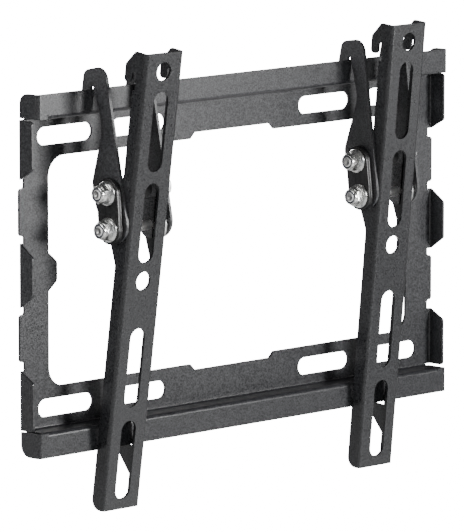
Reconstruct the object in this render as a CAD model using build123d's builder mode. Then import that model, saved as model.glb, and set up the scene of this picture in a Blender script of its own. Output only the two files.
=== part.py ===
from build123d import *

import os
from math import asin, atan2, cos, degrees, radians, sin

# Tilting TV wall bracket: a folded wall plate and two tilting arms.
# Units are millimetres. +X runs along the plate, +Y points at the wall and
# +Z is up. The origin is the middle of the wall plate's back face.

os.makedirs("parts", exist_ok=True)

# Wall plate, folded from one sheet
sheet = 1.5
bend = 1.0
plate_half_width = 169.7
plate_half_height = 104.0
rail_depth = 15.5
rail_front_height = 14.6
lap = 4.0
rail_end_inset = 3.7
cap_back_gap = 0.5
cap_slit = 1.2
cap_corner_top = 6.0
cap_corner_bottom = 7.0

# Window in the wall plate
window_side = 21.3
window_rim = 37.8
window_step = 3.6
window_step_half_width = 31.0
window_corner_top = 12.0
window_corner_bottom = 11.0
lobe_depth = 6.8
lobe_half_height = 12.0
lobe_flat_half_height = 5.5

# Wall screw slots
wall_slot_length = 43.0
wall_slot_height = 10.5
wall_slot_inset = (92.9, 34.3)
wall_slot_drop = 25.9

# Side tabs, folded towards the viewer
tab_overhang = 1.3
tab_depth = 11.9
tab_clear = 0.7
tab_bottom = 55.0
tab_lead = 5.8
middle_tab_half_height = 18.2
middle_tab_lead = 7.2
land_top = 49.6
land_bottom = 22.6
tab_round = 2.0
notch_inset = 2.5
land_chamfer = 1.2
notch_round = 1.5

# Arms: where each stands and how far it leans out in the photograph
arm_inset = {"left": 59.8, "right": 68.6}
arm_tilt = {"left": 8.0, "right": 5.8}
foot_gap = 0.4

# TV rail, a long channel
tv_sheet = 1.5
tv_half_width = 14.75
tv_length = 268.7
tv_flange = 9.3
tv_bend = 0.8
tv_foot_round = 6.0
tv_hole_radius = 5.5
tv_hole_u = (10.7, 133.2)
tv_slot_length = 46.8
tv_slot_width = 11.5
tv_slot_from_top = (45.9, 99.2)
tv_slot_from_foot = (84.1, 29.4)

# Safety hook at the top of each flange of the TV rail
hook_top_v = 9.6
hook_depth = 16.4
hook_chamfer_u = 8.3
hook_tip_u = 18.6
hook_tip_round = 2.5
hook_top_round = 1.5
hook_slot_v = 8.9
hook_slot_width = 3.3
hook_slot_top_u = 11.6
hook_slot_end_u = 22.5

# Tilt hinge, measured from the top front edge of the TV rail
pivot_u = 103.8
pivot_v = 11.5
lock_u = 83.5
lock_v = 16.0
ear_radius = 8.0
ear_top_slope = 1.8
ear_fillet = 2.4
ear_sweep_u = 124.5
ear_sweep_fillet = 9.0

# Lock ear of the right flange, which passes under the bottom rail
lock_ear_drop = 3.7
lock_ear_v = 19.5
lock_ear_length = 6.5
lock_ear_round = 2.5

# Hook plates that hang on the top rail
hook_sheet = 1.8
reach = 80.5
hook_front_top = 12.9
hook_front = 11.3
head_top = 11.6
head_back = 4.2
head_front_round = 7.5
head_back_round = 5.0
relief_radius = 1.35
relief_rise = 0.6
mouth_half_width = 1.25
mouth_front_angle = 6.7
mouth_back_angle = 17.0
leg_back = 8.8
leg_length = 9.5
mouth_depth = 15.5
belly = 11.5
belly_top = 52.0
belly_bottom = 65.5
waist_top = 24.0
foot_radius = 8.2
foot_front_round = 10.5
leg_round = 2.0
mouth_round = 1.5
neck_round = 8.0
waist_round = 12.0
belly_round = 10.0

# Hinge stack: plates on the left of an arm, thick washers on its right
spacer_sheet = 1.8
clamp_sheet = 1.8
run_gap = 0.05
clamp_radius = 8.5
washer = 3.5
washer_radius = 9.0
guide_washer_radius = 7.5

# Inner bracket behind the TV rail's web
bracket_sheet = 1.5
bracket_bend = 0.5
bracket_v = 8.3
bracket_web_top_u = 87.3
bracket_web_bottom_u = 99.3
bracket_recess = (4.6, 3.8, 0.5)
bracket_recess_x = 7.9
bracket_recess_u = 91.4

# M6 fasteners
m6_radius = 3.0
m6_clear = 0.2
pivot_run = 0.08
slot_run = 0.3
nut_flange_radius = 7.1
nut_flange = 1.2
nut_hex = 10.0
nut_hex_height = 5.2
nut_height = 8.0
nut_collar_radius = 4.7
bolt_end = 0.3
bolt_head_radius = 6.0
bolt_head = 3.2
bolt_socket = 4.0
bolt_socket_depth = 2.0
stud_head_radius = 4.2
stud_head = 1.3
guide_head = 5.2
hex_turn = 0.0

# Tilt of the TV rail at the two ends of its travel, in degrees
tilt_limits = (0.0, 8.0)

# Values worked out from the ones above
bend_line = bend + sheet / 2
rail_shelf_height = plate_half_height - rail_front_height
tab_top = rail_shelf_height - tab_clear
window_half_height = plate_half_height - window_rim
wall_slot_z = plate_half_height - wall_slot_drop
tab_half_width = plate_half_width + tab_overhang
notch_half_width = plate_half_width - notch_inset
rail_end = plate_half_width - rail_end_inset
window_half_width = plate_half_width - window_side
wall_slot_x = [plate_half_width - inset for inset in wall_slot_inset]
arm_x = {
    "left": arm_inset["left"] - plate_half_width,
    "right": plate_half_width - arm_inset["right"],
}
arm_span = 4 * tv_half_width
tv_slot_low_u = [tv_length - rise for rise in tv_slot_from_foot]
tv_slot_u = [*tv_slot_from_top, *tv_slot_low_u]
lock_ear_top_u = pivot_u + 2 * plate_half_height - reach + lock_ear_drop
lock_ear_corner_u = lock_ear_top_u + lock_ear_length
face_y = -rail_depth
hook_y = face_y + sheet / 2
hook_x = {-1: tv_half_width + run_gap, 1: tv_half_width + washer + 2 * run_gap}
spacer_x = hook_x[-1] + hook_sheet + run_gap
head_x = hook_x[1] + hook_sheet + run_gap
clamp_x = spacer_x + spacer_sheet
nut_x = clamp_x + clamp_sheet
stud_end_x = nut_x + nut_height + bolt_end
leg_x = tv_half_width - tv_sheet
lock_reach = ((pivot_u - lock_u) ** 2 + (lock_v - pivot_v) ** 2) ** 0.5
lock_lean = degrees(atan2(lock_v - pivot_v, pivot_u - lock_u))


def hinge_angle(tilt):
    """Angle between hook plate and TV rail that rests the foot on the rail."""
    t = radians(tilt)
    foot_y = face_y - foot_gap - hook_y
    foot_z = -2 * plate_half_height
    drop = foot_y * cos(t) + foot_z * sin(t)
    return degrees(asin((tv_flange - pivot_v - drop) / reach))


def swing_angle(tilt):
    """Lean of the hook plates about the top rail at this tilt."""
    return hinge_angle(tilt) - tilt


class Arm:
    """The planes of one arm at the tilt that the photograph shows."""

    def __init__(self, side):
        self.side = side
        self.x = arm_x[side]
        tilt = radians(arm_tilt[side])
        swing = radians(swing_angle(arm_tilt[side]))
        self.back = Vector(0, cos(tilt), sin(tilt))
        self.up = Vector(0, -sin(tilt), cos(tilt))
        self.hang = Vector(self.x, hook_y, plate_half_height)
        self.hook_back = Vector(0, cos(swing), -sin(swing))
        self.hook_up = Vector(0, sin(swing), cos(swing))
        self.pivot = self.hang - self.hook_up * reach
        self.top = self.pivot - self.back * pivot_v + self.up * pivot_u

    def rail_side(self, x):
        """Side view of the TV rail: x runs back, y runs up from its top."""
        return Plane(self.top + Vector(x, 0, 0), self.back, (1, 0, 0))

    def rail_end(self):
        """End view of the TV rail: x across, y back, z up along it."""
        return Plane(self.top, (1, 0, 0), self.up)

    def rail_front(self, depth=0.0):
        """Front view of the TV rail, looking at its web."""
        return Plane(self.top + self.back * depth, (1, 0, 0), -self.back)

    def hook_side(self, x):
        """Side view of a hook plate, from the edge of the top rail."""
        return Plane(self.hang + Vector(x, 0, 0), self.hook_back, (1, 0, 0))


def place_of(side, sign):
    """Name of the side of an arm: the one away from the middle or not."""
    outward = -1 if side == "left" else 1
    return "outer" if sign == outward else "inner"


def save(part, name):
    """Label a finished piece and write its STEP file."""
    part.label = name
    export_step(part, f"parts/{name}.step")


def nearest(corners, x, y):
    """The corner of a sketch that lies nearest to a point."""
    return corners.sort_by_distance((x, y, 0))[0]


# Side tabs of the wall plate, three on each edge
with BuildPart() as tabs:
    for sign in (-1, 1):
        with BuildSketch(Plane.XY.offset(-tab_top)):
            with BuildLine():
                FilletPolyline(
                    (sign * rail_end, -sheet / 2),
                    (sign * (tab_half_width - sheet / 2), -sheet / 2),
                    (sign * (tab_half_width - sheet / 2), -tab_depth),
                    radius=bend_line,
                )
            trace(line_width=sheet)
        extrude(amount=2 * tab_top)
    with BuildSketch(Plane.YZ.offset(-plate_half_width - sheet)) as tab_outline:
        Polygon(
            (1, middle_tab_half_height),
            (-sheet, middle_tab_half_height),
            (-tab_depth, middle_tab_half_height - middle_tab_lead),
            (-tab_depth, middle_tab_lead - middle_tab_half_height),
            (-sheet, -middle_tab_half_height),
            (1, -middle_tab_half_height),
            align=None,
        )
        for flip in (-1, 1):
            Polygon(
                (1, flip * tab_top),
                (-tab_depth, flip * tab_top),
                (-tab_depth, flip * (tab_bottom + tab_lead)),
                (-sheet, flip * tab_bottom),
                (1, flip * tab_bottom),
                align=None,
            )
        tips = tab_outline.vertices().filter_by(lambda v: v.X < 1 - tab_depth)
        fillet(tips, radius=tab_round)
    extrude(amount=2 * (plate_half_width + sheet), mode=Mode.INTERSECT)

# End caps of the two rails, folded back towards the wall
with BuildPart() as caps:
    for sign in (-1, 1):
        with BuildSketch(Plane.XY.offset(-plate_half_height)):
            with BuildLine():
                FilletPolyline(
                    (sign * (rail_end - lap), face_y + sheet / 2),
                    (sign * (plate_half_width - sheet / 2), face_y + sheet / 2),
                    (sign * (plate_half_width - sheet / 2), -cap_back_gap),
                    radius=bend_line,
                )
            trace(line_width=sheet)
        extrude(amount=2 * plate_half_height)
    with BuildSketch(Plane.YZ.offset(-plate_half_width)) as cap_outline:
        for flip, corner in ((1, cap_corner_top), (-1, cap_corner_bottom)):
            Polygon(
                (1 + face_y - 2, flip * (tab_top + cap_slit)),
                (-cap_back_gap, flip * (tab_top + cap_slit)),
                (-cap_back_gap, flip * plate_half_height),
                (1 + face_y - 2, flip * plate_half_height),
                align=None,
            )
            tip = nearest(cap_outline.vertices(), 0, flip * plate_half_height)
            fillet(tip, radius=corner)
    extrude(amount=2 * plate_half_width, mode=Mode.INTERSECT)

# Wall plate: flat frame with window and slots, two stepped rails
with BuildPart() as wall_plate:
    with BuildSketch(Plane.XZ) as frame:
        Rectangle(
            2 * notch_half_width,
            2 * (rail_shelf_height + sheet / 2 - bend_line),
        )
        for sign in (-1, 1):
            with Locations((0, sign * (land_top + land_bottom) / 2)):
                Rectangle(2 * tab_half_width, land_top - land_bottom)
        lands = frame.vertices().filter_by(lambda v: abs(v.X) > plate_half_width)
        chamfer(lands, length=land_chamfer)
        notches = frame.vertices().filter_by(
            lambda v: abs(abs(v.X) - notch_half_width) < 0.01 and abs(v.Y) < land_top + 0.01
        )
        fillet(notches, radius=notch_round)
    extrude(amount=sheet)
    with BuildSketch(Plane.XZ) as window:
        Rectangle(2 * window_half_width, 2 * window_half_height)
        top = window.vertices().group_by(Axis.Y)[-1]
        fillet(top, radius=window_corner_top)
        bottom = window.vertices().group_by(Axis.Y)[0]
        fillet(bottom, radius=window_corner_bottom)
        for sign in (-1, 1):
            Polygon(
                (-window_step_half_width - window_step, sign * window_half_height),
                (-window_step_half_width, sign * (window_half_height + window_step)),
                (window_step_half_width, sign * (window_half_height + window_step)),
                (window_step_half_width + window_step, sign * window_half_height),
                align=None,
            )
            Polygon(
                (sign * (window_half_width + 1), lobe_half_height),
                (sign * (window_half_width - lobe_depth), lobe_flat_half_height),
                (sign * (window_half_width - lobe_depth), -lobe_flat_half_height),
                (sign * (window_half_width + 1), -lobe_half_height),
                align=None,
                mode=Mode.SUBTRACT,
            )
        lobe_tips = window.vertices().filter_by(
            lambda v: abs(abs(v.X) - window_half_width + lobe_depth) < 0.01
        )
        fillet(lobe_tips, radius=3.0)
    extrude(amount=sheet, mode=Mode.SUBTRACT)
    with BuildSketch(Plane.XZ):
        slot_places = [
            (sx * x, sz * wall_slot_z)
            for x in wall_slot_x
            for sx in (-1, 1)
            for sz in (-1, 1)
        ]
        with Locations(*slot_places):
            SlotOverall(wall_slot_length, wall_slot_height)
    extrude(amount=sheet, mode=Mode.SUBTRACT)
    for flip in (-1, 1):
        with BuildSketch(Plane.YZ.offset(-rail_end)):
            with BuildLine():
                FilletPolyline(
                    (-sheet / 2, flip * (rail_shelf_height - lap)),
                    (-sheet / 2, flip * (rail_shelf_height + sheet / 2)),
                    (face_y + sheet / 2, flip * (rail_shelf_height + sheet / 2)),
                    (face_y + sheet / 2, flip * plate_half_height),
                    radius=bend_line,
                )
            trace(line_width=sheet)
        extrude(amount=2 * rail_end)
    add(tabs.part)
    add(caps.part)
save(wall_plate.part, "wall_plate")


def tv_rail(arm):
    """Channel with slotted web, hooks on top and ears for the hinge."""
    deep = lock_v + ear_radius + 4
    with BuildPart() as rail:
        with BuildSketch(arm.rail_end()):
            with BuildLine():
                FilletPolyline(
                    (-(tv_half_width - tv_sheet / 2), deep),
                    (-(tv_half_width - tv_sheet / 2), tv_sheet / 2),
                    (tv_half_width - tv_sheet / 2, tv_sheet / 2),
                    (tv_half_width - tv_sheet / 2, deep),
                    radius=tv_bend + tv_sheet / 2,
                )
            trace(line_width=tv_sheet)
        extrude(amount=-tv_length)
        with BuildSketch(arm.rail_side(-arm_span / 2)) as outline:
            Polygon((0, 0), (tv_flange, 0), (tv_flange, -tv_length), (0, -tv_length), align=None)
            fillet(nearest(outline.vertices(), tv_flange, -tv_length), radius=tv_foot_round)
            Polygon(
                (0, 0),
                (hook_top_v, 0),
                (hook_depth, -hook_chamfer_u),
                (hook_depth, -hook_tip_u),
                (hook_slot_v + hook_slot_width / 2, -hook_tip_u),
                (tv_flange, -hook_tip_u),
                (0, -hook_tip_u),
                align=None,
            )
            fillet(nearest(outline.vertices(), hook_top_v, 0), radius=hook_top_round)
            with Locations((hook_slot_v, -hook_slot_top_u - hook_slot_width / 2)):
                Circle(hook_slot_width / 2, mode=Mode.SUBTRACT)
            slot_start_u = hook_slot_top_u + hook_slot_width / 2
            with Locations((hook_slot_v, -(slot_start_u + hook_slot_end_u) / 2)):
                Rectangle(hook_slot_width, hook_slot_end_u - slot_start_u, mode=Mode.SUBTRACT)
            for v in (hook_slot_v + hook_slot_width / 2, hook_depth):
                fillet(nearest(outline.vertices(), v, -hook_tip_u), radius=hook_tip_round)
            Polygon(
                (0, -lock_u + ear_radius + ear_top_slope),
                (tv_flange, -lock_u + ear_radius + ear_top_slope),
                (lock_v, -lock_u + ear_radius),
                (pivot_v, -pivot_u),
                (pivot_v + ear_radius * 0.55, -pivot_u - ear_radius * 0.84),
                (tv_flange, -ear_sweep_u),
                (0, -ear_sweep_u),
                align=None,
            )
            with BuildSketch(mode=Mode.PRIVATE) as pads:
                with Locations((lock_v, -lock_u), (pivot_v, -pivot_u)):
                    Circle(ear_radius)
                make_hull()
            add(pads.sketch)
            crook = nearest(outline.vertices(), tv_flange, -lock_u + ear_radius + ear_top_slope)
            fillet(crook, radius=ear_fillet)
            sweep_end = nearest(outline.vertices(), tv_flange, -ear_sweep_u)
            fillet(sweep_end, radius=ear_sweep_fillet)
        extrude(amount=arm_span, mode=Mode.INTERSECT)
        with BuildSketch(arm.rail_side(tv_half_width)) as lock_ear:
            Polygon(
                (tv_flange - 2, -lock_ear_top_u),
                (lock_ear_v, -lock_ear_top_u),
                (lock_ear_v, -lock_ear_corner_u),
                (tv_flange, -lock_ear_corner_u - lock_ear_v + tv_flange),
                (tv_flange - 2, -lock_ear_corner_u - lock_ear_v + tv_flange),
                align=None,
            )
            for u in (lock_ear_top_u, lock_ear_corner_u):
                fillet(nearest(lock_ear.vertices(), lock_ear_v, -u), radius=lock_ear_round)
        extrude(amount=-tv_sheet)
        with BuildSketch(arm.rail_front()):
            with Locations(*[(0, -u) for u in tv_slot_u]):
                SlotOverall(tv_slot_length, tv_slot_width, rotation=90)
            with Locations(*[(0, -u) for u in tv_hole_u]):
                Circle(tv_hole_radius)
        extrude(amount=-tv_sheet - 0.5, mode=Mode.SUBTRACT)
        with BuildSketch(arm.rail_side(-arm_span / 2)):
            with Locations((pivot_v, -pivot_u), (lock_v, -lock_u)):
                Circle(m6_radius + m6_clear)
        extrude(amount=arm_span, mode=Mode.SUBTRACT)
    save(rail.part, f"{arm.side}_tv_rail")


def tilt_bracket(arm):
    """Inner bracket: two legs on the ears, joined by a short web."""
    span = 2 * leg_x
    with BuildPart() as bracket:
        with BuildSketch(arm.rail_end().offset(-lock_u + ear_radius + 1)):
            with BuildLine():
                FilletPolyline(
                    (-(leg_x - bracket_sheet / 2), lock_v + ear_radius + 2),
                    (-(leg_x - bracket_sheet / 2), bracket_v + bracket_sheet / 2),
                    (leg_x - bracket_sheet / 2, bracket_v + bracket_sheet / 2),
                    (leg_x - bracket_sheet / 2, lock_v + ear_radius + 2),
                    radius=bracket_bend + bracket_sheet / 2,
                )
            trace(line_width=bracket_sheet)
        extrude(amount=lock_u - pivot_u - 2 * ear_radius - 2)
        with BuildSketch(arm.rail_side(-arm_span / 2)):
            with Locations((lock_v, -lock_u), (pivot_v, -pivot_u)):
                Circle(ear_radius)
            make_hull()
            Polygon(
                (bracket_v, -bracket_web_top_u),
                (lock_v, -bracket_web_top_u),
                (pivot_v, -bracket_web_bottom_u),
                (bracket_v, -bracket_web_bottom_u),
                align=None,
            )
        extrude(amount=arm_span, mode=Mode.INTERSECT)
        for end in (-1, 1):
            limit = bracket_web_top_u if end > 0 else bracket_web_bottom_u
            with BuildSketch(arm.rail_front(bracket_v - 1)):
                with Locations((0, -limit + end * lock_u / 4)):
                    Rectangle(span - 2 * bracket_sheet, lock_u / 2)
            extrude(amount=-lock_v - ear_radius, mode=Mode.SUBTRACT)
        with BuildSketch(arm.rail_front(bracket_v)):
            for sign in (-1, 1):
                with Locations((sign * bracket_recess_x, -bracket_recess_u)):
                    Rectangle(bracket_recess[0], bracket_recess[1])
        extrude(amount=-bracket_recess[2], mode=Mode.SUBTRACT)
        with BuildSketch(arm.rail_side(-arm_span / 2)):
            with Locations((pivot_v, -pivot_u), (lock_v, -lock_u)):
                Circle(m6_radius + m6_clear)
        extrude(amount=arm_span, mode=Mode.SUBTRACT)
        with BuildSketch(arm.rail_side(-leg_x + bracket_sheet - stud_head)):
            with Locations((lock_v, -lock_u)):
                Circle(stud_head_radius + 0.05)
        extrude(amount=2 * (leg_x - bracket_sheet + stud_head), mode=Mode.SUBTRACT)
    save(bracket.part, f"{arm.side}_tilt_bracket")


def hook_plate(arm, sign):
    """Plate that hooks over the top rail and carries the pivot bolt."""
    front_rise = mouth_half_width + mouth_depth * sin(radians(mouth_front_angle))
    back_rise = mouth_half_width + leg_length * sin(radians(mouth_back_angle))
    with BuildPart() as plate:
        with BuildSketch(arm.hook_side(sign * hook_x[sign])) as outline:
            Polygon(
                (-hook_front_top, head_top),
                (head_back, head_top),
                (leg_back, 0),
                (leg_back, -leg_length),
                (back_rise, -leg_length),
                (mouth_half_width, 0),
                (-mouth_half_width, 0),
                (-front_rise, -mouth_depth),
                (-front_rise, -waist_top),
                (belly, -belly_top),
                (belly, -belly_bottom),
                (foot_radius, -reach),
                (foot_radius, -reach - foot_radius),
                (-hook_front, -reach - foot_radius),
                align=None,
            )
            for x, y, r in (
                (-hook_front_top, head_top, head_front_round),
                (head_back, head_top, head_back_round),
                (leg_back, -leg_length, leg_round),
                (back_rise, -leg_length, mouth_round),
                (-front_rise, -mouth_depth, neck_round),
                (-front_rise, -waist_top, waist_round),
                (belly, -belly_top, belly_round),
                (belly, -belly_bottom, belly_round),
                (foot_radius, -reach - foot_radius, foot_radius - 0.1),
                (-hook_front, -reach - foot_radius, foot_front_round),
            ):
                fillet(nearest(outline.vertices(), x, y), radius=r)
            with Locations((0, relief_rise)):
                Circle(relief_radius, mode=Mode.SUBTRACT)
            with Locations((0, -reach)):
                Circle(m6_radius + pivot_run, mode=Mode.SUBTRACT)
        extrude(amount=sign * hook_sheet)
        with BuildSketch(arm.hook_side(sign * hook_x[sign])):
            turn = [90 - lock_lean + hinge_angle(t) for t in tilt_limits]
            with BuildLine():
                CenterArc((0, -reach), lock_reach, turn[0], turn[1] - turn[0])
            trace(line_width=2 * (m6_radius + slot_run))
            ends = [
                (lock_reach * cos(radians(a)), lock_reach * sin(radians(a)) - reach)
                for a in turn
            ]
            with Locations(*ends):
                Circle(m6_radius + slot_run)
        extrude(amount=sign * hook_sheet, mode=Mode.SUBTRACT)
    save(plate.part, f"{arm.side}_{place_of(arm.side, sign)}_hook_plate")


def link_plate(arm, start, thick, kind):
    """Round-ended plate round both bolts, on the left of the arm."""
    with BuildPart() as link:
        with BuildSketch(arm.rail_side(-start)):
            with Locations((lock_v, -lock_u), (pivot_v, -pivot_u)):
                Circle(clamp_radius)
            make_hull()
            with Locations((lock_v, -lock_u), (pivot_v, -pivot_u)):
                Circle(m6_radius + m6_clear, mode=Mode.SUBTRACT)
        extrude(amount=-thick)
    save(link.part, f"{arm.side}_{kind}")


def thick_washer(arm, v, u, radius, kind):
    """Turned washer that keeps the right hook plate off the TV rail."""
    with BuildPart() as ring:
        with BuildSketch(arm.rail_side(tv_half_width + run_gap)):
            with Locations((v, -u)):
                Circle(radius)
                Circle(m6_radius + m6_clear, mode=Mode.SUBTRACT)
        extrude(amount=washer)
    save(ring.part, f"{arm.side}_{kind}")


def flange_nut(arm, sign, v, u, name):
    """Lock nut with a flange, a hexagon and a collar with a plastic ring."""
    with BuildPart() as nut:
        with BuildSketch(arm.rail_side(sign * nut_x)):
            with Locations((v, -u)):
                Circle(nut_flange_radius)
        extrude(amount=sign * nut_flange)
        rim = nut.edges().filter_by(GeomType.CIRCLE).sort_by(Axis.X)[-1 if sign > 0 else 0]
        chamfer(rim, length=0.5)
        with BuildSketch(arm.rail_side(sign * nut_x)):
            with Locations((v, -u)):
                RegularPolygon(nut_hex / 2, 6, major_radius=False)
        extrude(amount=sign * (nut_flange + nut_hex_height))
        with BuildSketch(arm.rail_side(sign * nut_x)):
            with Locations((v, -u)):
                Circle(nut_collar_radius)
        extrude(amount=sign * nut_height)
        end = nut.edges().filter_by(GeomType.CIRCLE).sort_by(Axis.X)[-1 if sign > 0 else 0]
        fillet(end, radius=0.9)
        with BuildSketch(arm.rail_side(sign * nut_x)):
            with Locations((v, -u)):
                Circle(m6_radius + 0.05)
        extrude(amount=sign * nut_height, mode=Mode.SUBTRACT)
    save(nut.part, name)


def lock_stud(arm, sign):
    """Pressed stud with a flush head in the inner bracket."""
    head_x = leg_x - bracket_sheet
    with BuildPart() as stud:
        with BuildSketch(arm.rail_side(sign * head_x)):
            with Locations((lock_v, -lock_u)):
                Circle(stud_head_radius)
        extrude(amount=sign * stud_head)
        with BuildSketch(arm.rail_side(sign * head_x)):
            with Locations((lock_v, -lock_u)):
                Circle(m6_radius)
        extrude(amount=sign * (stud_end_x - head_x))
        end = stud.edges().filter_by(GeomType.CIRCLE).sort_by(Axis.X)[-1 if sign > 0 else 0]
        chamfer(end, length=0.6)
    save(stud.part, f"{arm.side}_lock_stud")


def guide_bolt(arm):
    """Bolt with a flush end inside and a flanged hexagon head outside."""
    end_x = leg_x - bracket_sheet
    with BuildPart() as bolt:
        with BuildSketch(arm.rail_side(end_x)):
            with Locations((lock_v, -lock_u)):
                Circle(stud_head_radius)
        extrude(amount=stud_head)
        with BuildSketch(arm.rail_side(end_x)):
            with Locations((lock_v, -lock_u)):
                Circle(m6_radius)
        extrude(amount=head_x - end_x)
        with BuildSketch(arm.rail_side(head_x)):
            with Locations((lock_v, -lock_u)):
                Circle(nut_flange_radius)
        extrude(amount=nut_flange)
        with BuildSketch(arm.rail_side(head_x + nut_flange)):
            with Locations((lock_v, -lock_u)):
                RegularPolygon(nut_hex / 2, 6, major_radius=False, rotation=hex_turn)
        extrude(amount=guide_head)
    save(bolt.part, f"{arm.side}_guide_bolt")


def pivot_bolt(arm):
    """Through bolt with a low round socket head on its right."""
    with BuildPart() as bolt:
        with BuildSketch(arm.rail_side(-stud_end_x)):
            with Locations((pivot_v, -pivot_u)):
                Circle(m6_radius)
        extrude(amount=stud_end_x + head_x)
        end = bolt.edges().filter_by(GeomType.CIRCLE).sort_by(Axis.X)[0]
        chamfer(end, length=0.6)
        with BuildSketch(arm.rail_side(head_x)):
            with Locations((pivot_v, -pivot_u)):
                Circle(bolt_head_radius)
        extrude(amount=bolt_head)
        rim = bolt.edges().filter_by(GeomType.CIRCLE).sort_by(Axis.X)[-1]
        fillet(rim, radius=bolt_head * 0.75)
        with BuildSketch(arm.rail_side(head_x + bolt_head)):
            with Locations((pivot_v, -pivot_u)):
                RegularPolygon(bolt_socket / 2, 6, major_radius=False)
        extrude(amount=-bolt_socket_depth, mode=Mode.SUBTRACT)
    save(bolt.part, f"{arm.side}_pivot_bolt")


for side in ("left", "right"):
    arm = Arm(side)
    tv_rail(arm)
    tilt_bracket(arm)
    pivot_bolt(arm)
    lock_stud(arm, -1)
    guide_bolt(arm)
    flange_nut(arm, -1, pivot_v, pivot_u, f"{side}_pivot_nut")
    flange_nut(arm, -1, lock_v, lock_u, f"{side}_lock_nut")
    link_plate(arm, spacer_x, spacer_sheet, "spacer_plate")
    link_plate(arm, clamp_x, clamp_sheet, "clamp_plate")
    thick_washer(arm, pivot_v, pivot_u, washer_radius, "pivot_washer")
    thick_washer(arm, lock_v, lock_u, guide_washer_radius, "guide_washer")
    for sign in (-1, 1):
        hook_plate(arm, sign)
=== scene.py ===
import bmesh
import bpy
from math import cos, pi, radians, sin
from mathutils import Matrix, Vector


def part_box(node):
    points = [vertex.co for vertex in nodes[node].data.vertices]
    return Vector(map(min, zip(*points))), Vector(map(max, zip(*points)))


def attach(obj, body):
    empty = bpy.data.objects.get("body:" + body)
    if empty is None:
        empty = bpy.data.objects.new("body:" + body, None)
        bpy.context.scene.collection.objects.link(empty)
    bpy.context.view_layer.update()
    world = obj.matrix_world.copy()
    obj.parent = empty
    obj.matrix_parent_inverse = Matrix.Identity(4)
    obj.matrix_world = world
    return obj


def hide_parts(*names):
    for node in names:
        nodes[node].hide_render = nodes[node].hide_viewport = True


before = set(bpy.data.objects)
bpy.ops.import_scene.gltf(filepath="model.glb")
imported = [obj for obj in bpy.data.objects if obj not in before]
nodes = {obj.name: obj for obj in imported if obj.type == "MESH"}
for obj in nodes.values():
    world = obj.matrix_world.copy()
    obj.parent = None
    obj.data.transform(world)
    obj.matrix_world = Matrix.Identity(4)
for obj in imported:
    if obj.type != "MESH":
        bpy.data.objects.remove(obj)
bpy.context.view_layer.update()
bpy.ops.object.select_all(action="DESELECT")


# Wall plate: one sheet of 1.5 mm steel, punched and folded, then coated
# with black powder. The powder leaves a fine grain all over, and each cut
# edge keeps a small round that catches the light.
mm = 0.001
edge_round = 0.25 * mm
sharp_edge = radians(50)
gentle_fold = radians(35)
weld_distance = 0.01 * mm
flatness = 80
pimples_per_metre = 1150.0
orange_peel_per_metre = 420.0
clouds_per_metre = 20.0
grain_height = 0.14 * mm


def new_group(name, inputs, outputs, kind="ShaderNodeTree"):
    """An empty node group with named sockets, and its two ends."""
    tree = bpy.data.node_groups.new(name, kind)
    for way, sockets in (("INPUT", inputs), ("OUTPUT", outputs)):
        for label, value in sockets.items():
            tree.interface.new_socket(label, in_out=way, socket_type=f"NodeSocket{value}")
    return tree, tree.nodes.new("NodeGroupInput"), tree.nodes.new("NodeGroupOutput")


def add_node(tree, kind, **numbers):
    """A new node with some of its inputs set, each by its own label."""
    made = tree.nodes.new(kind)
    for label, number in numbers.items():
        made.inputs[label.replace("_", " ")].default_value = number
    return made


def add_noise(tree, place, grains_per_metre, detail=2.0):
    """A noise pattern on the piece, with its coarseness."""
    noise = add_node(tree, "ShaderNodeTexNoise", Scale=grains_per_metre, Detail=detail)
    tree.links.new(place, noise.inputs["Vector"])
    return noise


def add_stretch(tree, low, high):
    """A node that stretches the part of a pattern between two of its values."""
    return add_node(tree, "ShaderNodeMapRange", From_Min=low, From_Max=high)


def add_colour_mix(tree):
    """A node that mixes two colours by a mask."""
    mix = tree.nodes.new("ShaderNodeMix")
    mix.data_type = "RGBA"
    return mix


def add_share(tree, share):
    """A node that adds a share of one pattern to another."""
    total = tree.nodes.new("ShaderNodeMath")
    total.operation = "MULTIPLY_ADD"
    total.inputs[1].default_value = share
    return total


skin = {"Color": "Color", "Roughness": "Float", "Normal": "Vector"}
powder_grain, powder_in, powder_out = new_group(
    "Powder grain",
    {"Dark": "Color", "Light": "Color", "Smoothest": "Float", "Roughest": "Float", "Depth": "Float"},
    skin,
)
powder_place = add_node(powder_grain, "ShaderNodeTexCoord").outputs["Object"]
pimples = add_noise(powder_grain, powder_place, pimples_per_metre)
pimples.inputs["Roughness"].default_value = 0.6
orange_peel = add_noise(powder_grain, powder_place, orange_peel_per_metre)
clouds = add_noise(powder_grain, powder_place, clouds_per_metre)
speck = add_stretch(powder_grain, 0.36, 0.66)
powder_tint = add_colour_mix(powder_grain)
patchy = add_share(powder_grain, 0.16)
shine = add_stretch(powder_grain, 0.42, 0.76)
relief = add_share(powder_grain, 0.25)
dent = add_node(powder_grain, "ShaderNodeBump", Distance=grain_height)
wire = powder_grain.links.new
wire(pimples.outputs["Fac"], speck.inputs["Value"])
wire(speck.outputs["Result"], powder_tint.inputs["Factor"])
wire(powder_in.outputs["Dark"], powder_tint.inputs[6])
wire(powder_in.outputs["Light"], powder_tint.inputs[7])
wire(powder_tint.outputs[2], powder_out.inputs["Color"])
wire(clouds.outputs["Fac"], patchy.inputs[0])
wire(pimples.outputs["Fac"], patchy.inputs[2])
wire(patchy.outputs[0], shine.inputs["Value"])
wire(powder_in.outputs["Smoothest"], shine.inputs["To Min"])
wire(powder_in.outputs["Roughest"], shine.inputs["To Max"])
wire(shine.outputs["Result"], powder_out.inputs["Roughness"])
wire(orange_peel.outputs["Fac"], relief.inputs[0])
wire(pimples.outputs["Fac"], relief.inputs[2])
wire(relief.outputs[0], dent.inputs["Height"])
wire(powder_in.outputs["Depth"], dent.inputs["Strength"])
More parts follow.
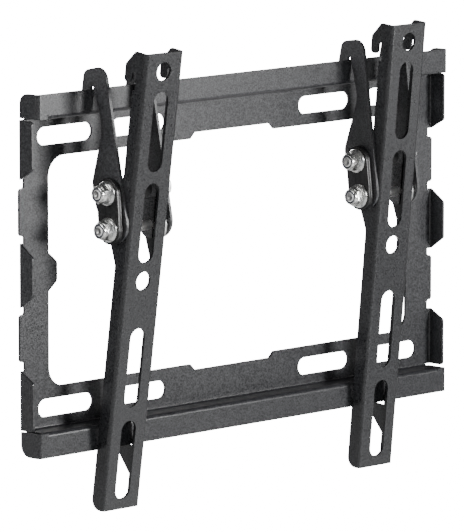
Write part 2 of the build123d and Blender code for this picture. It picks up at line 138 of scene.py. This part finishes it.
wire(dent.outputs["Normal"], powder_out.inputs["Normal"])


def grained(name, grain_group, values):
    """A material whose colour, gloss and grain come from a node group."""
    made = bpy.data.materials.new(name)
    made.use_nodes = True
    shader = made.node_tree.nodes["Principled BSDF"]
    grain = made.node_tree.nodes.new("ShaderNodeGroup")
    grain.node_tree = grain_group
    for label, value in values.items():
        grain.inputs[label].default_value = value
    for label, goal in (("Color", "Base Color"), ("Roughness", "Roughness"), ("Normal", "Normal")):
        made.node_tree.links.new(grain.outputs[label], shader.inputs[goal])
    return made


def powder_coat(name, dark, light, smoothest, roughest, depth):
    """Black powder coat with its own shades, gloss and depth of grain."""
    return grained(name, powder_grain, {
        "Dark": (*dark, 1),
        "Light": (*light, 1),
        "Smoothest": smoothest,
        "Roughest": roughest,
        "Depth": depth,
    })


# Folds are smooth bends: edges below the fold's angle are shaded as one
# surface, and the edges of the sheet stay sharp.
fold_smoothing, fold_in, fold_out = new_group(
    "Smooth folds", {"Geometry": "Geometry"}, {"Geometry": "Geometry"}, "GeometryNodeTree"
)
edge_angle = add_node(fold_smoothing, "GeometryNodeInputMeshEdgeAngle")
is_gentle = add_node(fold_smoothing, "FunctionNodeCompare")
is_gentle.data_type = "FLOAT"
is_gentle.operation = "LESS_THAN"
is_gentle.inputs[1].default_value = gentle_fold
smooth_faces = add_node(fold_smoothing, "GeometryNodeSetShadeSmooth")
smooth_faces.domain = "FACE"
smooth_edges = add_node(fold_smoothing, "GeometryNodeSetShadeSmooth")
smooth_edges.domain = "EDGE"
wire = fold_smoothing.links.new
wire(fold_in.outputs[0], smooth_faces.inputs["Geometry"])
wire(smooth_faces.outputs["Geometry"], smooth_edges.inputs["Geometry"])
wire(edge_angle.outputs["Unsigned Angle"], is_gentle.inputs[0])
wire(is_gentle.outputs["Result"], smooth_edges.inputs["Shade Smooth"])
wire(smooth_edges.outputs["Geometry"], fold_out.inputs[0])


def paint(piece, material):
    """Gives the whole piece one material."""
    piece.data.materials.clear()
    piece.data.materials.append(material)


def coat_sheet(name, coat):
    """Coats a sheet metal node, joins its triangles and rounds its edges."""
    sheet = nodes[name]
    paint(sheet, coat)
    weld = sheet.modifiers.new("Joined triangles", "WELD")
    weld.merge_threshold = weld_distance
    bevel = sheet.modifiers.new("Rounded edges", "BEVEL")
    bevel.width = edge_round
    bevel.segments = 2
    bevel.limit_method = "ANGLE"
    bevel.angle_limit = sharp_edge
    folds = sheet.modifiers.new("Smooth folds", "NODES")
    folds.node_group = fold_smoothing
    flats = sheet.modifiers.new("Flat faces stay flat", "WEIGHTED_NORMAL")
    flats.mode = "FACE_AREA"
    flats.weight = flatness
    flats.keep_sharp = True


plate_coat = powder_coat(
    "Plate powder coat",
    dark=(0.002, 0.002, 0.003),
    light=(0.034, 0.035, 0.038),
    smoothest=0.28,
    roughest=0.44,
    depth=0.45,
)
coat_sheet("wall_plate", plate_coat)


# Hook plates: four stamped side plates of 1.8 mm steel that hang over the
# edge of the top rail and swing on it. Their powder coat is smoother than
# the wall plate's, and painted greyer as painted light on their shaded sides.
sides = ("left", "right")
# Painted light: this coat's shades are lighter than the wall plate's, to light the plates' shaded
# sides.
hook_coat_painted_light = powder_coat(
    "Hook plate powder coat painted light",
    dark=(0.014, 0.014, 0.015),
    light=(0.056, 0.057, 0.061),
    smoothest=0.3,
    roughest=0.42,
    depth=0.25,
)
for side in sides:
    coat_sheet(f"{side}_outer_hook_plate", hook_coat_painted_light)
    coat_sheet(f"{side}_inner_hook_plate", hook_coat_painted_light)


# TV rails: channels of 1.5 mm steel with punched slots in the web, ears for
# the hinge and a safety hook at the top. They are folded after punching and
# powder coated with the same grain as the wall plate.
rail_coat = powder_coat(
    "TV rail powder coat",
    dark=(0.002, 0.002, 0.003),
    light=(0.022, 0.023, 0.025),
    smoothest=0.27,
    roughest=0.42,
    depth=0.45,
)
for side in sides:
    coat_sheet(f"{side}_tv_rail", rail_coat)


# Tilt brackets, spacer and clamp plates: small stamped steel parts of the
# hinge, coated black. The bracket's coat is painted lighter, as painted light
# on its shaded web, and the plates' coat is painted darker, as painted shade.
# The bracket joins the two ears from inside, and the two round-ended plates
# spread the load of the nuts on each arm's left.
# Painted shade: this coat's shades are darker than the wall plate's.
link_coat_painted_shade = powder_coat(
    "Hinge plate powder coat painted shade",
    dark=(0.002, 0.002, 0.002),
    light=(0.012, 0.012, 0.013),
    smoothest=0.3,
    roughest=0.42,
    depth=0.3,
)
# Painted light: this coat's shades are lighter than the wall plate's, to light the bracket's shaded
# web.
bracket_coat_painted_light = powder_coat(
    "Bracket powder coat painted light",
    dark=(0.03, 0.03, 0.031),
    light=(0.12, 0.121, 0.125),
    smoothest=0.34,
    roughest=0.48,
    depth=0.3,
)
for side in sides:
    coat_sheet(f"{side}_tilt_bracket", bracket_coat_painted_light)
    coat_sheet(f"{side}_spacer_plate", link_coat_painted_shade)
    coat_sheet(f"{side}_clamp_plate", link_coat_painted_shade)


# Lock nuts: M6 steel nuts, cold formed with a flange, a chamfered hexagon
# and a round collar that is rolled over a nylon ring. Bright zinc plated,
# with faint turning marks and a few duller patches.
flange_radius = 7.1 * mm
flange_height = 1.2 * mm
flange_rim = 0.55 * flange_height
flange_cone = 1.35 * flange_height
hex_start = 0.9 * flange_height
hex_across = 10.0 * mm
hex_end = 6.4 * mm
hex_chamfer = 0.55 * mm
collar_radius = 4.7 * mm
collar_start = 5.4 * mm
collar_rim = 7.2 * mm
nut_height = 8.0 * mm
nylon_radius = 3.85 * mm
nylon_sunk = 0.25 * mm
nylon_round = 0.02 * mm
nut_edge_break = 0.12 * mm
broken_edge = radians(28)
smooth_below = radians(26)
round_facets = 64
mark_height = 0.03 * mm
marks_per_metre = 700.0
bloom_per_metre = 260.0
nylon_per_metre = 900.0

zinc_plate, zinc_in, zinc_out = new_group(
    "Zinc plate",
    {"Bright": "Color", "Dull": "Color", "Smoothest": "Float", "Roughest": "Float"},
    skin,
)
zinc_place = add_node(zinc_plate, "ShaderNodeTexCoord").outputs["Object"]
lathe_lines = add_node(zinc_plate, "ShaderNodeMapping", Scale=(6.0, 1.0, 1.0))
turning = add_noise(zinc_plate, lathe_lines.outputs["Vector"], marks_per_metre)
bloom = add_noise(zinc_plate, zinc_place, bloom_per_metre, detail=3.0)
dull_patch = add_stretch(zinc_plate, 0.4, 0.7)
zinc_tint = add_colour_mix(zinc_plate)
zinc_shine = add_stretch(zinc_plate, 0.3, 0.7)
zinc_marks = add_node(zinc_plate, "ShaderNodeBump", Distance=mark_height, Strength=0.3)
wire = zinc_plate.links.new
wire(zinc_place, lathe_lines.inputs["Vector"])
wire(bloom.outputs["Fac"], dull_patch.inputs["Value"])
wire(dull_patch.outputs["Result"], zinc_tint.inputs["Factor"])
wire(zinc_in.outputs["Bright"], zinc_tint.inputs[6])
wire(zinc_in.outputs["Dull"], zinc_tint.inputs[7])
wire(zinc_tint.outputs[2], zinc_out.inputs["Color"])
wire(turning.outputs["Fac"], zinc_shine.inputs["Value"])
wire(zinc_in.outputs["Smoothest"], zinc_shine.inputs["To Min"])
wire(zinc_in.outputs["Roughest"], zinc_shine.inputs["To Max"])
wire(zinc_shine.outputs["Result"], zinc_out.inputs["Roughness"])
wire(turning.outputs["Fac"], zinc_marks.inputs["Height"])
wire(zinc_marks.outputs["Normal"], zinc_out.inputs["Normal"])


def zinc_finish(name, bright, dull, smoothest, roughest):
    """Bright zinc plate with its own shades and gloss."""
    made = grained(name, zinc_plate, {
        "Bright": (*bright, 1),
        "Dull": (*dull, 1),
        "Smoothest": smoothest,
        "Roughest": roughest,
    })
    made.node_tree.nodes["Principled BSDF"].inputs["Metallic"].default_value = 1.0
    return made


nut_zinc = zinc_finish(
    "Nut zinc", bright=(0.74, 0.74, 0.72), dull=(0.5, 0.51, 0.52), smoothest=0.18, roughest=0.32
)

nylon = bpy.data.materials.new("Nylon ring")
nylon.use_nodes = True
nylon_shader = nylon.node_tree.nodes["Principled BSDF"]
nylon_place = add_node(nylon.node_tree, "ShaderNodeTexCoord").outputs["Object"]
nylon_noise = add_noise(nylon.node_tree, nylon_place, nylon_per_metre)
nylon_tint = add_colour_mix(nylon.node_tree)
nylon_tint.inputs[6].default_value = (0.016, 0.018, 0.024, 1)
nylon_tint.inputs[7].default_value = (0.03, 0.034, 0.044, 1)
wire = nylon.node_tree.links.new
wire(nylon_noise.outputs["Fac"], nylon_tint.inputs["Factor"])
wire(nylon_tint.outputs[2], nylon_shader.inputs["Base Color"])


def select_only(*pieces):
    """Selects these pieces and nothing else, with the first one active."""
    bpy.ops.object.select_all(action="DESELECT")
    for piece in pieces:
        piece.select_set(True)
    bpy.context.view_layer.objects.active = pieces[0]


def round_bar(name, facets, radius, near_x, far_x):
    """A bar along X between two places, to be shaped further."""
    bpy.ops.object.select_all(action="DESELECT")
    bpy.ops.mesh.primitive_cylinder_add(
        vertices=facets,
        radius=radius,
        depth=abs(far_x - near_x),
        location=((near_x + far_x) / 2, 0, 0),
        rotation=(0, pi / 2, 0),
    )
    bpy.ops.object.transform_apply(location=True, rotation=True, scale=True)
    bar = bpy.context.object
    bar.name = name
    return bar


def pick_end(bar, end_x):
    """In edit mode, picks only the end faces that lie at one place."""
    shape = bmesh.from_edit_mesh(bar.data)
    bpy.ops.mesh.select_all(action="DESELECT")
    for face in shape.faces:
        square = abs(abs(face.normal.x) - 1) < 0.01
        if square and abs(face.calc_center_median().x - end_x) < 0.02 * mm:
            face.select_set(True)
    shape.select_flush_mode()
    bmesh.update_edit_mesh(bar.data)


def pull(distance):
    """In edit mode, extrudes the picked faces along X."""
    bpy.ops.mesh.extrude_region_move(TRANSFORM_OT_translate={"value": (distance, 0, 0)})


def step_end(bar, end_x, out_x, width):
    """Pulls an end face to a new place and scales it, as a chamfer or step."""
    pick_end(bar, end_x)
    pull(out_x - end_x)
    bpy.ops.transform.resize(value=(1, width, width), center_override=(out_x, 0, 0))


def machine(piece, cutter, operation):
    """Cuts a piece with a second shape, which is then thrown away."""
    select_only(piece)
    cut = piece.modifiers.new("Cut", "BOOLEAN")
    cut.operation = operation
    cut.solver = "EXACT"
    cut.object = cutter
    bpy.ops.object.modifier_apply(modifier=cut.name)
    bpy.data.objects.remove(cutter)


def cold_formed_flange(name, way):
    """The flange of a nut (way -1) or a bolt head (way 1), with a slope."""
    disc = round_bar(name, round_facets, flange_radius, 0, way * flange_rim)
    bpy.ops.object.mode_set(mode="EDIT")
    step_end(disc, way * flange_rim, way * flange_height, 0.93)
    step_end(disc, way * flange_height, way * flange_cone, 0.88)
    bpy.ops.object.mode_set(mode="OBJECT")
    return disc


def chamfered_hexagon(name, way):
    """A hexagon on the flange, its far corners turned off to a cone."""
    corner = hex_across / 2 / cos(pi / 6)
    flank_x = way * (hex_end - hex_chamfer)
    hexagon = round_bar(name, 6, corner, way * hex_start, way * hex_end)
    cone = round_bar("Turning cone", round_facets, corner * 1.01, way * hex_start / 2, flank_x)
    bpy.ops.object.mode_set(mode="EDIT")
    step_end(cone, flank_x, way * (hex_end + hex_chamfer / 2), 0.8)
    bpy.ops.object.mode_set(mode="OBJECT")
    machine(hexagon, cone, "INTERSECT")
    return hexagon


def join_pieces(pieces, name):
    """Joins the closed parts of one forged piece into one object."""
    select_only(*pieces)
    bpy.ops.object.join()
    whole = bpy.context.object
    whole.name = name
    bpy.ops.object.mode_set(mode="EDIT")
    bpy.ops.mesh.select_all(action="SELECT")
    bpy.ops.mesh.normals_make_consistent(inside=False)
    bpy.ops.object.mode_set(mode="OBJECT")
    return whole


def break_edges(piece, width):
    """Takes the sharpness off the edges and shades the rest smoothly."""
    select_only(piece)
    bevel = piece.modifiers.new("Broken edges", "BEVEL")
    bevel.width = width
    bevel.segments = 2
    bevel.limit_method = "ANGLE"
    bevel.angle_limit = broken_edge
    bpy.ops.object.modifier_apply(modifier=bevel.name)
    bpy.ops.object.shade_smooth_by_angle(angle=smooth_below)


def fit_copy(model, name, node, seat_x, turn=0):
    """Puts a copy of a model on its node's own axis, and applies its place."""
    low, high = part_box(node)
    copy = bpy.data.objects.new(name, model.data.copy())
    bpy.context.scene.collection.objects.link(copy)
    copy.location = (seat_x, (low[1] + high[1]) / 2, (low[2] + high[2]) / 2)
    copy.rotation_euler = (radians(turn), 0, 0)
    select_only(copy)
    bpy.ops.object.transform_apply(location=True, rotation=True, scale=True)
    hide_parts(node)
    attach(copy, f"{node.split('_')[0]}_rail")


nut_rim = cold_formed_flange("Nut flange", -1)
nut_hexagon = chamfered_hexagon("Nut hexagon", -1)
nut_collar = round_bar("Nut collar", round_facets, collar_radius, -collar_start, -collar_rim)
nut_collar.data.materials.append(nut_zinc)
nut_collar.data.materials.append(nylon)
bpy.ops.object.mode_set(mode="EDIT")
rolled_x = -collar_rim
rolled_radius = collar_radius
for next_x, width in ((-7.65 * mm, 0.97), (-7.92 * mm, 0.92), (-nut_height, 0.95)):
    step_end(nut_collar, rolled_x, next_x, width)
    rolled_x = next_x
    rolled_radius *= width
step_end(nut_collar, rolled_x, rolled_x + nylon_sunk, nylon_radius / rolled_radius)
bpy.ops.mesh.inset(thickness=nylon_round)
nut_collar.active_material_index = 1
bpy.ops.object.material_slot_assign()
bpy.ops.object.mode_set(mode="OBJECT")
paint(nut_rim, nut_zinc)
paint(nut_hexagon, nut_zinc)
nut_model = join_pieces([nut_collar, nut_rim, nut_hexagon], "Nut model")
break_edges(nut_model, nut_edge_break)
nut_turns = {"left_pivot": 11, "left_lock": 37, "right_pivot": 23, "right_lock": 4}
for nut_name, turn in nut_turns.items():
    node = f"{nut_name}_nut"
    fit_copy(nut_model, f"{nut_name}_flange_nut", node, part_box(node)[1][0], turn)
bpy.data.objects.remove(nut_model)


# Pivot bolts: M6 steel bolts, zinc plated, with a low round head and a
# hexagon socket, pushed through both ears from the right. The shank shows
# inside the rail, and its chamfered end stands just proud of the nut. Their
# zinc is painted brighter than the nuts', as painted light on the shaded shank.
shank_radius = 3.0 * mm
end_chamfer = 0.6 * mm
button_radius = 6.0 * mm
button_height = 3.2 * mm
dome_radius = 2.4 * mm
socket_across = 4.0 * mm
socket_floor = button_height - 2.0 * mm
drill_point = 0.7 * mm
bolt_edge_break = 0.1 * mm
dimple_rim = 1.1 * mm
dimple_depth = 0.3 * mm
pivot_low, pivot_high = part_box("left_pivot_bolt")
pivot_end = button_height - (pivot_high[0] - pivot_low[0])
# Painted light: this zinc is brighter than the nuts', to light shanks that sit in shade.
bolt_zinc_painted_light = zinc_finish(
    "Bolt zinc painted light", bright=(0.95, 0.95, 0.93), dull=(0.8, 0.81, 0.82), smoothest=0.42, roughest=0.55
)
cut_end = zinc_finish(
    "Cut end zinc", bright=(0.4, 0.4, 0.39), dull=(0.16, 0.16, 0.17), smoothest=0.34, roughest=0.55
)


def draw_shank(bolt, head_radius, start_x, end_x):
    """In edit mode, draws a shank with a chamfered end out of the head."""
    pick_end(bolt, start_x)
    bpy.ops.mesh.inset(thickness=head_radius - shank_radius)
    pull(end_x + end_chamfer - start_x)
    step_end(bolt, end_x + end_chamfer, end_x, 0.8)


def dull_end(bolt, end_x):
    """Gives the cut end of a thread a small dimple and a duller finish."""
    select_only(bolt)
    bolt.data.materials.append(cut_end)
    bpy.ops.object.mode_set(mode="EDIT")
    pick_end(bolt, end_x)
    bolt.active_material_index = 1
    bpy.ops.object.material_slot_assign()
    bpy.ops.mesh.inset(thickness=dimple_rim)
    bpy.ops.mesh.inset(thickness=dimple_depth, depth=-dimple_depth)
    bpy.ops.object.mode_set(mode="OBJECT")


dome_x = button_height - dome_radius
dome_at = button_radius
button = round_bar("Button head", round_facets, button_radius, 0, dome_x)
bpy.ops.object.mode_set(mode="EDIT")
for angle in (22.5, 45, 67.5, 90):
    next_x = button_height - dome_radius + dome_radius * sin(radians(angle))
    next_at = button_radius - dome_radius + dome_radius * cos(radians(angle))
    step_end(button, dome_x, next_x, next_at / dome_at)
    dome_x = next_x
    dome_at = next_at
draw_shank(button, button_radius, 0, pivot_end)
bpy.ops.object.mode_set(mode="OBJECT")
socket_corner = socket_across / 2 / cos(pi / 6)
socket = round_bar("Socket cutter", 6, socket_corner, button_height * 1.5, socket_floor)
bpy.ops.object.mode_set(mode="EDIT")
step_end(socket, socket_floor, socket_floor - drill_point, 0.05)
bpy.ops.object.mode_set(mode="OBJECT")
machine(button, socket, "DIFFERENCE")
break_edges(button, bolt_edge_break)
paint(button, bolt_zinc_painted_light)
dull_end(button, pivot_end)
for side in sides:
    node = f"{side}_pivot_bolt"
    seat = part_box(node)[1][0] - button_height
    fit_copy(button, f"{side}_pivot_button_bolt", node, seat, 17)
bpy.data.objects.remove(button)


# Lock studs: M6 steel studs pressed into the left leg of each bracket, with
# a flush head inside that has the black coat of the hinge, with its painted
# shade. Only the zinc plated, chamfered end shows, in its nut; that zinc is
# painted brighter, as painted light.
stud_head_radius = 4.2 * mm
stud_head = 1.3 * mm
stud_low, stud_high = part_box("left_lock_stud")
stud_end = stud_low[0] - stud_high[0]


def coat_head(bolt, low_x, high_x):
    """Gives the faces between two places the black coat of the hinge, with its painted shade."""
    bolt.data.materials.append(link_coat_painted_shade)
    for face in bolt.data.polygons:
        if low_x < face.center.x < high_x:
            face.material_index = len(bolt.data.materials) - 1


stud_model = round_bar("Stud model", 48, stud_head_radius, 0, -stud_head)
bpy.ops.object.mode_set(mode="EDIT")
draw_shank(stud_model, stud_head_radius, -stud_head, stud_end)
bpy.ops.object.mode_set(mode="OBJECT")
break_edges(stud_model, bolt_edge_break)
paint(stud_model, bolt_zinc_painted_light)
dull_end(stud_model, stud_end)
# Painted shade: the head's faces take the darkened hinge coat.
coat_head(stud_model, -stud_head * 1.05, stud_head)
for side in sides:
    node = f"{side}_lock_stud"
    fit_copy(stud_model, f"{side}_pressed_stud", node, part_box(node)[1][0])
bpy.data.objects.remove(stud_model)


# Guide bolts: M6 steel bolts with a flanged hexagon head, zinc plated, which
# run in the arc slot of the right hook plate. Their zinc is painted brighter,
# as painted light. Their inner end is riveted flat and coated with the rail,
# in the black hinge coat with its painted shade.
guide_low, guide_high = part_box("left_guide_bolt")
guide_end = hex_end - (guide_high[0] - guide_low[0])
rivet_x = guide_end + stud_head
rivet_step = 0.05 * mm
dish_rim = 1.1 * mm
dish_depth = 0.35 * mm
guide_rim = cold_formed_flange("Guide flange", 1)
bpy.ops.object.mode_set(mode="EDIT")
pick_end(guide_rim, 0)
bpy.ops.mesh.inset(thickness=flange_radius - shank_radius)
pull(rivet_x)
step_end(guide_rim, rivet_x, rivet_x - rivet_step, stud_head_radius / shank_radius)
pull(guide_end - rivet_x + rivet_step)
bpy.ops.object.mode_set(mode="OBJECT")
guide_hexagon = chamfered_hexagon("Guide hexagon", 1)
bpy.ops.object.mode_set(mode="EDIT")
pick_end(guide_hexagon, hex_end)
bpy.ops.mesh.inset(thickness=dish_rim, depth=-dish_depth)
bpy.ops.object.mode_set(mode="OBJECT")
paint(guide_rim, bolt_zinc_painted_light)
paint(guide_hexagon, bolt_zinc_painted_light)
guide_model = join_pieces([guide_rim, guide_hexagon], "Guide bolt model")
break_edges(guide_model, nut_edge_break)
# Painted shade: the riveted end takes the darkened hinge coat.
coat_head(guide_model, guide_end * 1.05, rivet_x + rivet_step)
for side, turn in (("left", 30), ("right", 52)):
    node = f"{side}_guide_bolt"
    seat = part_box(node)[1][0] - hex_end
    fit_copy(guide_model, f"{side}_flanged_bolt", node, seat, turn)
bpy.data.objects.remove(guide_model)


# Thick washers: turned steel rings, zinc plated, that hold the right hook
# plate off the rail. One sits at the pivot and a smaller one at the guide.
washer_bore = 3.2 * mm
washer_edge_break = 0.25 * mm
washer_radius = {"pivot_washer": 9.0 * mm, "guide_washer": 7.5 * mm}
washer_zinc = zinc_finish(
    "Washer zinc", bright=(0.78, 0.78, 0.76), dull=(0.5, 0.51, 0.52), smoothest=0.22, roughest=0.4
)
for kind, radius in washer_radius.items():
    low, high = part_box(f"left_{kind}")
    thick = high[0] - low[0]
    ring_model = round_bar("Ring model", round_facets, radius, 0, thick)
    drill = round_bar("Washer drill", 48, washer_bore, -thick, 2 * thick)
    machine(ring_model, drill, "DIFFERENCE")
    break_edges(ring_model, washer_edge_break)
    paint(ring_model, washer_zinc)
    for side in sides:
        node = f"{side}_{kind}"
        fit_copy(ring_model, f"{side}_turned_{kind}", node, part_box(node)[0][0])
    bpy.data.objects.remove(ring_model)


# Setting: a pale floor well below the bracket, which hangs on a wall that
# isn't shown, so the whole background is white, as in the photograph.
floor_z = -0.42
floor_size = 40
seen_white = 17.0
fill_light = 0.12


def show_camera(tree, others_see, camera_sees, output):
    """Sends the camera one shader and all other light another."""
    ray = tree.nodes.new("ShaderNodeLightPath")
    pick = tree.nodes.new("ShaderNodeMixShader")
    tree.links.new(ray.outputs["Is Camera Ray"], pick.inputs["Fac"])
    tree.links.new(others_see.outputs[0], pick.inputs[1])
    tree.links.new(camera_sees.outputs[0], pick.inputs[2])
    tree.links.new(pick.outputs["Shader"], output.inputs["Surface"])


bpy.ops.object.select_all(action="DESELECT")
bpy.ops.mesh.primitive_plane_add(size=floor_size, location=(0, 0, floor_z))
floor = bpy.context.object
floor.name = "Floor"
floor_white = bpy.data.materials.new("Pale floor")
floor_white.use_nodes = True
floor_tree = floor_white.node_tree
floor_shader = floor_tree.nodes["Principled BSDF"]
floor_shader.inputs["Base Color"].default_value = (0.8, 0.8, 0.8, 1)
floor_shader.inputs["Roughness"].default_value = 0.9
floor_seen = add_node(floor_tree, "ShaderNodeEmission", Strength=seen_white)
show_camera(floor_tree, floor_shader, floor_seen, floor_tree.nodes["Material Output"])
paint(floor, floor_white)

world = bpy.context.scene.world or bpy.data.worlds.new("Studio")
bpy.context.scene.world = world
world.use_nodes = True
world.node_tree.nodes.clear()
white = (1, 1, 1, 1)
sky_fill = add_node(world.node_tree, "ShaderNodeBackground", Color=white, Strength=fill_light)
sky_seen = add_node(world.node_tree, "ShaderNodeBackground", Color=white, Strength=seen_white)
sky_out = add_node(world.node_tree, "ShaderNodeOutputWorld")
show_camera(world.node_tree, sky_fill, sky_seen, sky_out)

# Square soft lights: place, point that they look at, size and power.
lights = {
    "Key light": ((0.5, -1.12, 0.18), (0, 0, 0.02), 0.3, 24),
    "Left light": ((-2.3, 0.6, 0.9), (0, 0, 0), 0.8, 38),
    "Front light": ((-1.7, -2.1, 0.7), (0, 0, 0), 0.5, 24),
    "Right light": ((0.45, -0.3, -0.02), (0.16, 0, 0), 0.1, 0.09),
    "Back light": ((1.0, 2.4, 1.0), (0, 0, 0), 0.9, 30),
}
for name, (place, aim, size, power) in lights.items():
    bpy.ops.object.light_add(type="AREA", location=place)
    lamp = bpy.context.object
    lamp.name = name
    lamp.data.shape = "SQUARE"
    lamp.data.size = size
    lamp.data.energy = power
    towards = Vector(aim) - Vector(place)
    lamp.rotation_euler = towards.to_track_quat("-Z", "Y").to_euler()

# Camera: a long lens from the front left and a little above, at the place
# that the corners of the wall plate give.
camera_place = (-2.55615, -2.5378, 0.5096)
camera_turn = radians(45.219)
camera_dip = radians(8.239)
bpy.ops.object.camera_add(location=camera_place)
camera = bpy.context.object
camera.name = "Camera"
look = Vector((
    sin(camera_turn) * cos(camera_dip),
    cos(camera_turn) * cos(camera_dip),
    -sin(camera_dip),
))
camera.rotation_euler = look.to_track_quat("-Z", "Y").to_euler()
camera.data.sensor_width = 36.0
camera.data.lens = 420.3
camera.data.clip_end = 100.0
bpy.context.scene.camera = camera
